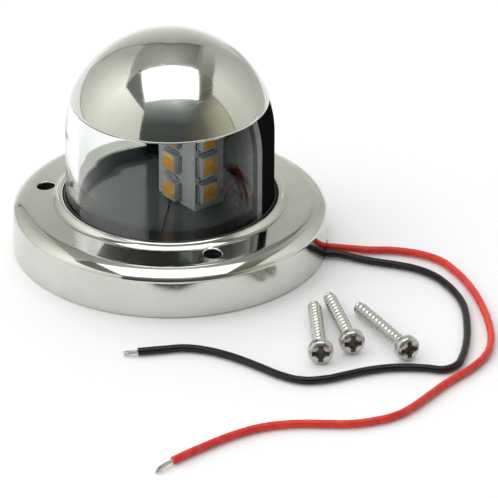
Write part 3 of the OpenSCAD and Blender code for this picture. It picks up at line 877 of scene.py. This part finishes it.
class NAVLIGHT_OT_leads(bpy.types.Operator):
    """Lay the red and black leads with their bare ends, and the short leads inside the light"""

    bl_idname = "navlight.leads"
    bl_label = "Leads"

    def execute(self, context):
        sizes = settings(context, "lamp")
        look = finishes(context)
        for hue, route, bare, inner in LEADS:
            path = metres(route)
            pvc = look[hue + "_insulation"]
            lead = place(hue + "_lead_skin", tube([path], sizes.lead / 2), pvc, [hue + "_lead"])
            wires = tube(self.strands(metres(bare), sizes), sizes.strand / 2, sides=2)
            ends = place(hue + "_bare_ends", wires, look["tinned_copper"], [hue + "_strands"])
            short = tube([metres(inner)], sizes.lead / 2)
            # Inside the light the red lead takes the darker red, which is painted shade. The black lead keeps
            # its own finish.
            skin = look.get(hue + "_hookup_insulation", pvc)
            place(hue + "_hookup", short, skin, [hue + "_lead_inner"])
        return {"FINISHED"}

    def strands(self, path, sizes):
        """Routes of seven strands, twisted and a little splayed at their ends."""
        count, steps, twist = 7, 8, 1.9
        start, end = path[0], path[-1]
        along = (end - start).normalized()
        side = along.cross(Vector((0, 0, 1))).normalized()
        rise = side.cross(along)
        routes = []
        for k in range(count):
            spread = 0.0 if k == 0 else 1.0
            splay = 0.15 + 0.12 * math.sin(2.4 * k)
            cut_short = 1 - 0.12 * (k % 3)
            route = []
            for i in range(steps + 1):
                t = i / steps * cut_short
                middle = path[0] * (1 - t) ** 2 + 2 * path[1] * t * (1 - t) + path[2] * t * t
                a = TAU * k / (count - 1) + twist * t
                reach = spread * (sizes.strand * 0.95 + splay * MM * t * t)
                spot = middle + (side * math.cos(a) + rise * math.sin(a)) * reach
                spot.z = max(spot.z, sizes.strand * 0.6)
                route.append(spot)
            routes.append(route)
        return routes


class NAVLIGHT_OT_base_shell(bpy.types.Operator):
    """Draw the polished base with its bead, flared screw holes and lead notch"""

    bl_idname = "navlight.base_shell"
    bl_label = "Base shell"

    CUT_REACH = 8 * MM

    def execute(self, context):
        sizes = settings(context, "base")
        self.measure(sizes)
        whole = to_mesh("base_whole", lathe(self.outline(sizes)))
        spots, cutters = [], []
        for i in range(3):
            a = sizes.hole_turn + TAU * i / 3
            spot = Vector((math.cos(a), math.sin(a), 0)) * sizes.hole_circle
            cutters.append(self.hole_cutter(sizes, spot))
            spots.append(spot + Vector((0, 0, self.top(sizes, sizes.hole_circle))))
        notch, notch_spot = self.notch_cutter(sizes)
        result = cut(whole, [*cutters, notch])
        keep_normals(result, whole, [*spots, notch_spot], self.CUT_REACH)
        place("base_shell", result, finishes(context)["drawn_steel"], ["base_flange"])
        return {"FINISHED"}

    def measure(self, sizes):
        """Centres of the shoulder, the crown, the bead and the hollow beside the bead."""
        lean, draft, slope = sizes.shoulder_turn, sizes.draft, sizes.top_slope
        inset = (sizes.shoulder + sizes.rim * math.sin(draft)) / math.cos(draft)
        self.shoulder = (sizes.radius - inset, sizes.rim)
        back = sizes.shoulder - sizes.crown
        self.crown = (self.shoulder[0] + back * math.cos(lean), self.shoulder[1] + back * math.sin(lean))
        self.bead = (sizes.bead_circle, self.top(sizes, sizes.bead_circle) + sizes.bead_rise)
        lift = sizes.hollow - sizes.bead_rise * math.cos(slope)
        run = math.sqrt((sizes.bead + sizes.hollow) ** 2 - lift**2)
        self.hollow = (
            self.bead[0] + run * math.cos(slope) + lift * math.sin(slope),
            self.bead[1] - run * math.sin(slope) + lift * math.cos(slope),
        )

    def top(self, sizes, r):
        """Height of the base's top at a radius, on the slope between the crown and the bead."""
        end_r = self.crown[0] + sizes.crown * math.sin(sizes.top_slope)
        end_z = self.crown[1] + sizes.crown * math.cos(sizes.top_slope)
        return end_z + (end_r - r) * math.tan(sizes.top_slope)

    def outline(self, sizes):
        """Closed section of the sheet: rim, shoulder, crown, hollow and bead outside, then back inside."""
        draft, lean, slope = (math.degrees(a) for a in (sizes.draft, sizes.shoulder_turn, sizes.top_slope))
        thin = sizes.sheet
        leaning = math.tan(sizes.draft)
        inner = sizes.radius - thin / math.cos(sizes.draft)
        under = self.top(sizes, sizes.bead_circle) - thin / math.cos(sizes.top_slope)
        points = arc((sizes.radius - sizes.edge, sizes.edge), sizes.edge, -90, 0, 5)
        heights = [sizes.rim * share for share in (0.1, 0.5, 0.97)]
        points += [(sizes.radius - z * leaning, z) for z in heights]
        points += arc(self.shoulder, sizes.shoulder, draft, lean, 20)
        points += arc(self.crown, sizes.crown, lean, 90 - slope, 30)[1:]
        points += arc(self.hollow, sizes.hollow, 270 - slope, heading(self.hollow, self.bead) % 360, 24)
        points += arc(self.bead, sizes.bead, heading(self.bead, self.hollow), 270, 36)[1:]
        points += [(sizes.bead_circle, under)]
        points += arc(self.crown, sizes.crown - thin, 90 - slope, lean, 24)
        points += arc(self.shoulder, sizes.shoulder - thin, lean, draft, 8)[1:]
        points += [(inner - sizes.edge * leaning, sizes.edge), (inner, 0)]
        return points

    def hole_cutter(self, sizes, spot):
        """Cutter for a screw hole whose edge follows the sloping top and is slightly flared."""
        flare = ((0, -3), (1, -3), (1, -0.26), (1.03, -0.12), (1.09, -0.03), (1.3, 0.1), (1.3, 3), (0, 3))
        shape = lathe([(r * sizes.hole, z * MM) for r, z in flare], steps=72)
        for vert in shape.verts:
            vert.co += spot
            vert.co.z += self.top(sizes, math.hypot(vert.co.x, vert.co.y))
        return to_mesh("hole_cutter", shape)

    def notch_cutter(self, sizes):
        """Cutter for the leads' notch, and the notch's place."""
        shape = bmesh.new()
        half, deep = sizes.notch_width / 2, sizes.sheet * 2
        aside = Matrix.Rotation(sizes.lead_turn, 4, "Z")
        low, high = (sizes.radius - deep, -half, -MM), (sizes.radius + deep, half, sizes.notch_height)
        block(shape, low, high, aside)
        return to_mesh("notch_cutter", shape), aside @ Vector((sizes.radius, 0, sizes.notch_height))


class NAVLIGHT_OT_gasket(bpy.types.Operator):
    """Fit the black gasket between the bead and the window"""

    bl_idname = "navlight.gasket"
    bl_label = "Gasket"

    def execute(self, context):
        window = settings(context, "window")
        low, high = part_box("lens_gasket")
        room, lip_width, foot_height = 0.1 * MM, 0.45 * MM, 0.75 * MM
        inner, half = window.radius + room, lip_width / 2
        outline = [(inner, low.z), (high.x, low.z), (high.x, low.z + foot_height)]
        outline += [(inner + lip_width, low.z + foot_height)]
        outline += arc((inner + half, high.z - half), half, 0, 180, 10)
        place("gasket", lathe(outline), finishes(context)["seal_rubber"], ["lens_gasket"])
        return {"FINISHED"}


def wall_outline(window, inner):
    """Closed section of the window's or the screen's wall, from its foot to its lap under the dome."""
    foot_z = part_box("clear_window")[0].z
    middle = (0, window.centre)
    outer = window.dome - window.step
    edge = window.rounding
    room = 0.1 * MM
    step_z = window.dome_edge - window.dome_sheet / 2 - room
    step_turn = math.degrees(math.asin(step_z / outer))
    lap_low = math.degrees(math.asin(step_z / window.lap))
    lap_high = math.degrees(math.asin(window.lap_height / window.lap))
    top_turn = math.degrees(math.asin(window.lap_height / inner))
    outline = [(window.foot, foot_z), (window.foot, foot_z + window.foot_height)]
    outline += [(window.radius, foot_z + window.foot_height), (window.radius, window.lip - edge)]
    taper = heading((window.radius, window.lip), (outer, window.centre)) - 90
    outline += [(window.radius - edge * math.sin(math.radians(taper)) / 2, window.lip + edge)]
    outline += arc(middle, outer, 0, step_turn, 16)
    outline += arc(middle, window.lap, lap_low, lap_high, 14)
    outline += arc(middle, inner, top_turn, 0, 30)
    outline += [(inner, foot_z)]
    return outline


class NAVLIGHT_OT_window(bpy.types.Operator):
    """Mould the clear window round the front, with a painted glow on its port end face and a black starboard
    end
    """

    bl_idname = "navlight.window"
    bl_label = "Clear window"

    def execute(self, context):
        window = settings(context, "window")
        start = -math.pi / 2 - window.arc / 2
        shape = lathe(wall_outline(window, window.radius - window.wall), window.arc, start, 180)
        look = finishes(context)
        piece = place("window_lens", shape, look["clear_moulding"], ["clear_window"])
        # The port end faces get the pale end glow colour, a painted highlight; the starboard end faces are
        # glossy black.
        port_end, starboard_end, end_facing = 1, 2, 0.9
        piece.data.materials.append(look["painted_end_glow"])
        piece.data.materials.append(look["screen_gloss"])
        for face in piece.data.polygons:
            along = face.center.x * face.normal.y - face.center.y * face.normal.x
            if abs(along) > end_facing * math.hypot(face.center.x, face.center.y):
                face.material_index = port_end if along > 0 else starboard_end
        return {"FINISHED"}


class NAVLIGHT_OT_screen(bpy.types.Operator):
    """Mould the black screen round the back, glossy inside and satin outside"""

    bl_idname = "navlight.screen"
    bl_label = "Rear screen"

    def execute(self, context):
        window = settings(context, "window")
        sweep = TAU - window.arc - 2 * window.end_gap
        start = math.pi / 2 - sweep / 2
        shape = lathe(wall_outline(window, window.radius - window.screen_wall), sweep, start, 110)
        look = finishes(context)
        piece = place("black_screen", shape, look["screen_gloss"], ["rear_screen"])
        piece.data.materials.append(look["screen_satin"])
        for face in piece.data.polygons:
            outward = face.center.x * face.normal.x + face.center.y * face.normal.y
            face.material_index = int(outward > 0)
        return {"FINISHED"}


class NAVLIGHT_OT_dome(bpy.types.Operator):
    """Press the polished dome with its rounded edge"""

    bl_idname = "navlight.dome"
    bl_label = "Dome cap"

    def execute(self, context):
        window = settings(context, "window")
        middle = (0, window.centre)
        half = window.dome_sheet / 2
        mid = window.dome - half
        low = math.asin(window.dome_edge / mid)
        edge = (mid * math.cos(low), window.centre + mid * math.sin(low))
        low = math.degrees(low)
        outline = arc(middle, window.dome, low, 90, 72)
        outline += arc(middle, window.dome - window.dome_sheet, 90, low, 36)
        outline += arc(edge, half, low + 180, low + 360, 12)[1:-1]
        place("dome_shell", lathe(outline), finishes(context)["mirror_steel"], ["dome_cap"])
        return {"FINISHED"}


class NAVLIGHT_OT_inside(bpy.types.Operator):
    """Finish the lamp holder, the post, the boards and the hidden mouldings"""

    bl_idname = "navlight.inside"
    bl_label = "Inside"

    def execute(self, context):
        look = finishes(context)
        dress("lamp_holder", look["floor_gloss"], bevel=0.12 * MM)
        dress("base_plate", look["base_moulding"])
        dress("holder_screws", look["bright_steel"])
        dress("lead_grommet", look["seal_rubber"], bevel=0.15 * MM)
        dress("led_post", look["board_coat"], bevel=0.1 * MM)
        for board in ("front_board", "port_board", "starboard_board"):
            dress(board, look["board_coat"], bevel=0.08 * MM)
        return {"FINISHED"}


class NAVLIGHT_OT_leds(bpy.types.Operator):
    """Solder the LED packages on the boards, with their terminals, dark strips and chip resistors"""

    bl_idname = "navlight.leds"
    bl_label = "LEDs"

    COUNT = 3

    def execute(self, context):
        sizes = settings(context, "lamp")
        look = finishes(context)
        gel, solder, tracks, bodies, caps = (bmesh.new() for _ in range(5))
        for side, face_axis in (("front", "y"), ("port", "x"), ("starboard", "-x")):
            cases = bmesh.new()
            seat, depth, levels = self.seats(side + "_leds", face_axis, sizes)
            for level in levels:
                spot = seat @ Matrix.Translation((0, 0, level))
                self.case(cases, gel, spot, sizes, depth)
                self.terminals(solder, spot, sizes)
                self.tracks(tracks, spot, sizes)
            place(side + "_led_cases", cases, look["package_white"], [side + "_leds"])
            self.chip(bodies, caps, seat @ Matrix.Translation((0, 0, levels[-1] + sizes.case / 2)))
        place("led_windows", gel, look["phosphor_gel"], ["led_gel"])
        place("led_terminals", solder, look["tinned_copper"])
        place("board_strips", tracks, look["board_strip"])
        place("chip_bodies", bodies, look["chip_body"], ["chip_resistors"])
        place("chip_caps", caps, look["tinned_copper"])
        return {"FINISHED"}

    def seats(self, node, face_axis, sizes):
        """Frame of a column on its board's face, looking along -Y, the packages' height and their levels."""
        low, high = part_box(node)
        if face_axis == "y":
            seat = Matrix.Translation(((low.x + high.x) / 2, high.y, 0))
            depth = high.y - low.y
        else:
            port = face_axis == "x"
            seat = Matrix.Translation((low.x if port else high.x, (low.y + high.y) / 2, 0))
            seat = seat @ Matrix.Rotation(math.pi / 2 if port else -math.pi / 2, 4, "Z")
            depth = high.x - low.x
        first, last = low.z + sizes.case / 2, high.z - sizes.case / 2
        step = (last - first) / (self.COUNT - 1)
        return seat, depth, [first + step * i for i in range(self.COUNT)]

    def case(self, cases, gel, spot, sizes, depth):
        """Package, and the filling that fills its window to just above its face."""
        half, inside, proud, soft = sizes.case / 2, sizes.window / 2, 0.02 * MM, 0.06 * MM
        face, deep = -depth - proud, -depth + sizes.window_depth
        block(cases, (-half, -depth, -half), (half, 0, half), spot, sizes.corner)
        block(gel, (-inside, face, -inside), (inside, deep, inside), spot, soft)

    def terminals(self, solder, spot, sizes):
        """Three soldered terminals at each side of a package."""
        half, wide, pitch = sizes.case / 2, sizes.terminal / 2, sizes.case * 0.33
        under, out, tall, soft = 0.1 * MM, 0.35 * MM, 0.5 * MM, 0.12 * MM
        for side in (-1, 1):
            for row in (-1, 0, 1):
                middle = row * pitch
                ends = sorted((side * (half - under), side * (half + out)))
                block(solder, (ends[0], -tall, middle - wide), (ends[1], 0, middle + wide), spot, soft)

    def tracks(self, tracks, spot, sizes):
        """Dark strips above, below and beside a package."""
        half, thin, wide, over, beside = sizes.case / 2, 0.03 * MM, sizes.track, 0.45 * MM, 0.6 * MM
        for side in (-1, 1):
            low = side * (half + over) - wide / 2
            block(tracks, (-half, -thin, low), (half, 0, low + wide), spot)
            edge = side * (half + beside) - wide / 2
            block(tracks, (edge, -thin, -half), (edge + wide, 0, half), spot)

    def chip(self, bodies, caps, seat):
        """Chip resistor above a column, with tinned ends."""
        half, tall, cap, low, high = 1.0 * MM, 0.55 * MM, 0.35 * MM, 1.6 * MM, 2.8 * MM
        body_edge, cap_edge = 0.04 * MM, 0.08 * MM
        block(bodies, (cap - half, -tall, low), (half - cap, 0, high), seat, body_edge)
        for side in (-1, 1):
            ends = sorted((side * half, side * (half - cap)))
            block(caps, (ends[0], -tall, low), (ends[1], 0, high), seat, cap_edge)


class NAVLIGHT_OT_screws(bpy.types.Operator):
    """Lay the three fixing screws with their threads and drive recesses beside the light"""

    bl_idname = "navlight.screws"
    bl_label = "Fixing screws"

    ROUND = 80

    def execute(self, context):
        sizes = settings(context, "screw")
        look = finishes(context)
        lean = math.asin((sizes.head - sizes.thread) / 2 / sizes.shank)
        for i, (x, y, turned) in enumerate(SCREWS):
            lay = Matrix.Translation((x * MM, y * MM, sizes.thread / 2 / math.cos(lean)))
            lay = lay @ Matrix.Rotation(math.radians(turned), 4, "Z")
            lay = lay @ Matrix.Rotation(math.pi / 2 - lean, 4, "Y")
            shape = self.screw(sizes)
            shape.transform(lay)
            stands_for, body = [f"mounting_screw_{i + 1}"], f"screw_{i + 1}"
            name, steel = f"fixing_screw_{i + 1}", look["bright_steel"]
            piece = place(name, shape, steel, stands_for, body)
            piece.data.materials.append(look["recess_shade"])
        return {"FINISHED"}

    def screw(self, sizes):
        """Screw along +Z from its tip: rings up the thread, over the head and down into the recess."""
        mesh = bmesh.new()
        rows = [*self.thread_rows(sizes), *self.head_rows(sizes)]
        lip = len(rows)
        rows += self.recess_rows(sizes)
        rings = []
        for row in rows:
            ring = []
            for k in range(self.ROUND):
                a = TAU * k / self.ROUND
                r, z = row(a)
                ring.append(mesh.verts.new((r * math.cos(a), r * math.sin(a), z)))
            rings.append(ring)
        for row, (here, there) in enumerate(zip(rings, rings[1:])):
            for k in range(self.ROUND):
                n = (k + 1) % self.ROUND
                mesh.faces.new((here[k], here[n], there[n], there[k])).material_index = int(row >= lip)
        mesh.faces.new(reversed(rings[0]))
        mesh.faces.new(rings[-1]).material_index = 1
        bmesh.ops.recalc_face_normals(mesh, faces=mesh.faces)
        return mesh

    def thread_rows(self, sizes):
        """Rings of the shank, with a helical thread that runs out at both ends."""
        tip, per_turn, run_out, blunt, sharpness = 1.2 * MM, 14, 1.2 * MM, 0.62, 1.6
        count = round(sizes.shank / sizes.pitch * per_turn)
        crest = (sizes.thread - sizes.core) / 2

        def at(z):
            point = min(1, blunt + (1 - blunt) * z / tip)
            fade = min(1, (sizes.shank - z) / run_out)

            def ring(a):
                wave = 0.5 + 0.5 * math.cos(TAU * z / sizes.pitch - a)
                return (sizes.core / 2 + crest * fade * wave**sharpness) * point, z

            return ring

        return [at(sizes.shank * i / count) for i in range(count + 1)]

    def crown(self, sizes, r):
        """Height of the pan head's top at a distance from its axis: nearly flat, with a rounded edge."""
        share, power = min(1, 2 * r / sizes.head), 2.8
        rise = (sizes.head_height - sizes.head_rim) * (1 - share**power) ** (1 / power)
        return sizes.shank + sizes.head_rim + rise

    def head_rows(self, sizes):
        """Rings of the pan head, from under its rim to the edge of the recess."""
        wide, soft, lip = sizes.head / 2, 0.15 * MM, 1.04
        shares = (0.01, 0.03, 0.07, 0.13, 0.22, 0.35, 0.5, 0.7, 0.9, 1)

        def plain(r, z):
            return lambda a: (r, sizes.shank + z)

        def over(t):
            def ring(a):
                r = wide + (self.recess(sizes, a) * lip - wide) * t
                return r, self.crown(sizes, r)

            return ring

        under = [plain(wide - soft, 0), plain(wide - soft * 0.3, soft * 0.3), plain(wide, soft)]
        return [*under, plain(wide, sizes.head_rim), *(over(t) for t in shares)]

    def recess_rows(self, sizes):
        """Rings of the drive recess, from its broken edge to its floor."""
        base, top, broken = sizes.shank, sizes.head_height, 0.07 * MM

        def lip(a):
            r = self.recess(sizes, a)
            return r, self.crown(sizes, r) - broken

        def down(share, depth):
            return lambda a: (self.recess(sizes, a) * share, base + top - depth * sizes.recess_depth)

        return [lip, down(0.84, 0.7), down(0.72, 1), down(0.2, 1.05)]

    def recess(self, sizes, a):
        """Reach of the drive recess in one direction: a cross with small ribs between its arms."""
        def arm(turned, width, reach):
            off = (a - turned + math.pi / 4) % (math.pi / 2) - math.pi / 4
            return min(width / 2 / max(abs(math.sin(off)), 1e-6), reach / math.cos(off))

        return max(
            arm(0, sizes.recess_arm, sizes.recess),
            arm(math.pi / 4, sizes.recess_arm * 0.4, sizes.recess * 0.62),
        )


class NAVLIGHT_PT_panel(bpy.types.Panel):
    """Lists the light's sizes, colours and build steps"""

    bl_idname = "NAVLIGHT_PT_panel"
    bl_label = "Navigation light"
    bl_space_type = "VIEW_3D"
    bl_region_type = "UI"
    bl_category = "Navigation light"

    def draw(self, context):
        for operator in OPERATORS:
            self.layout.operator(operator.bl_idname)
        for group, kind in GROUPS.items():
            box = self.layout.box()
            box.label(text=kind.__doc__)
            for prop in kind.__annotations__:
                box.prop(settings(context, group), prop)


OPERATORS = (
    NAVLIGHT_OT_stage,
    NAVLIGHT_OT_leads,
    NAVLIGHT_OT_base_shell,
    NAVLIGHT_OT_gasket,
    NAVLIGHT_OT_window,
    NAVLIGHT_OT_screen,
    NAVLIGHT_OT_dome,
    NAVLIGHT_OT_inside,
    NAVLIGHT_OT_leds,
    NAVLIGHT_OT_screws,
)
CLASSES = (*GROUPS.values(), *OPERATORS, NAVLIGHT_PT_panel)


def register():
    for item in CLASSES:
        bpy.utils.register_class(item)
    for group, kind in GROUPS.items():
        setattr(bpy.types.Scene, PREFIX + group, bpy.props.PointerProperty(type=kind))


def unregister():
    for group in GROUPS:
        delattr(bpy.types.Scene, PREFIX + group)
    for item in reversed(CLASSES):
        bpy.utils.unregister_class(item)


def main():
    register()
    for operator in OPERATORS:
        getattr(bpy.ops.navlight, operator.bl_idname.split(".")[1])()


if __name__ == "__main__":
    main()
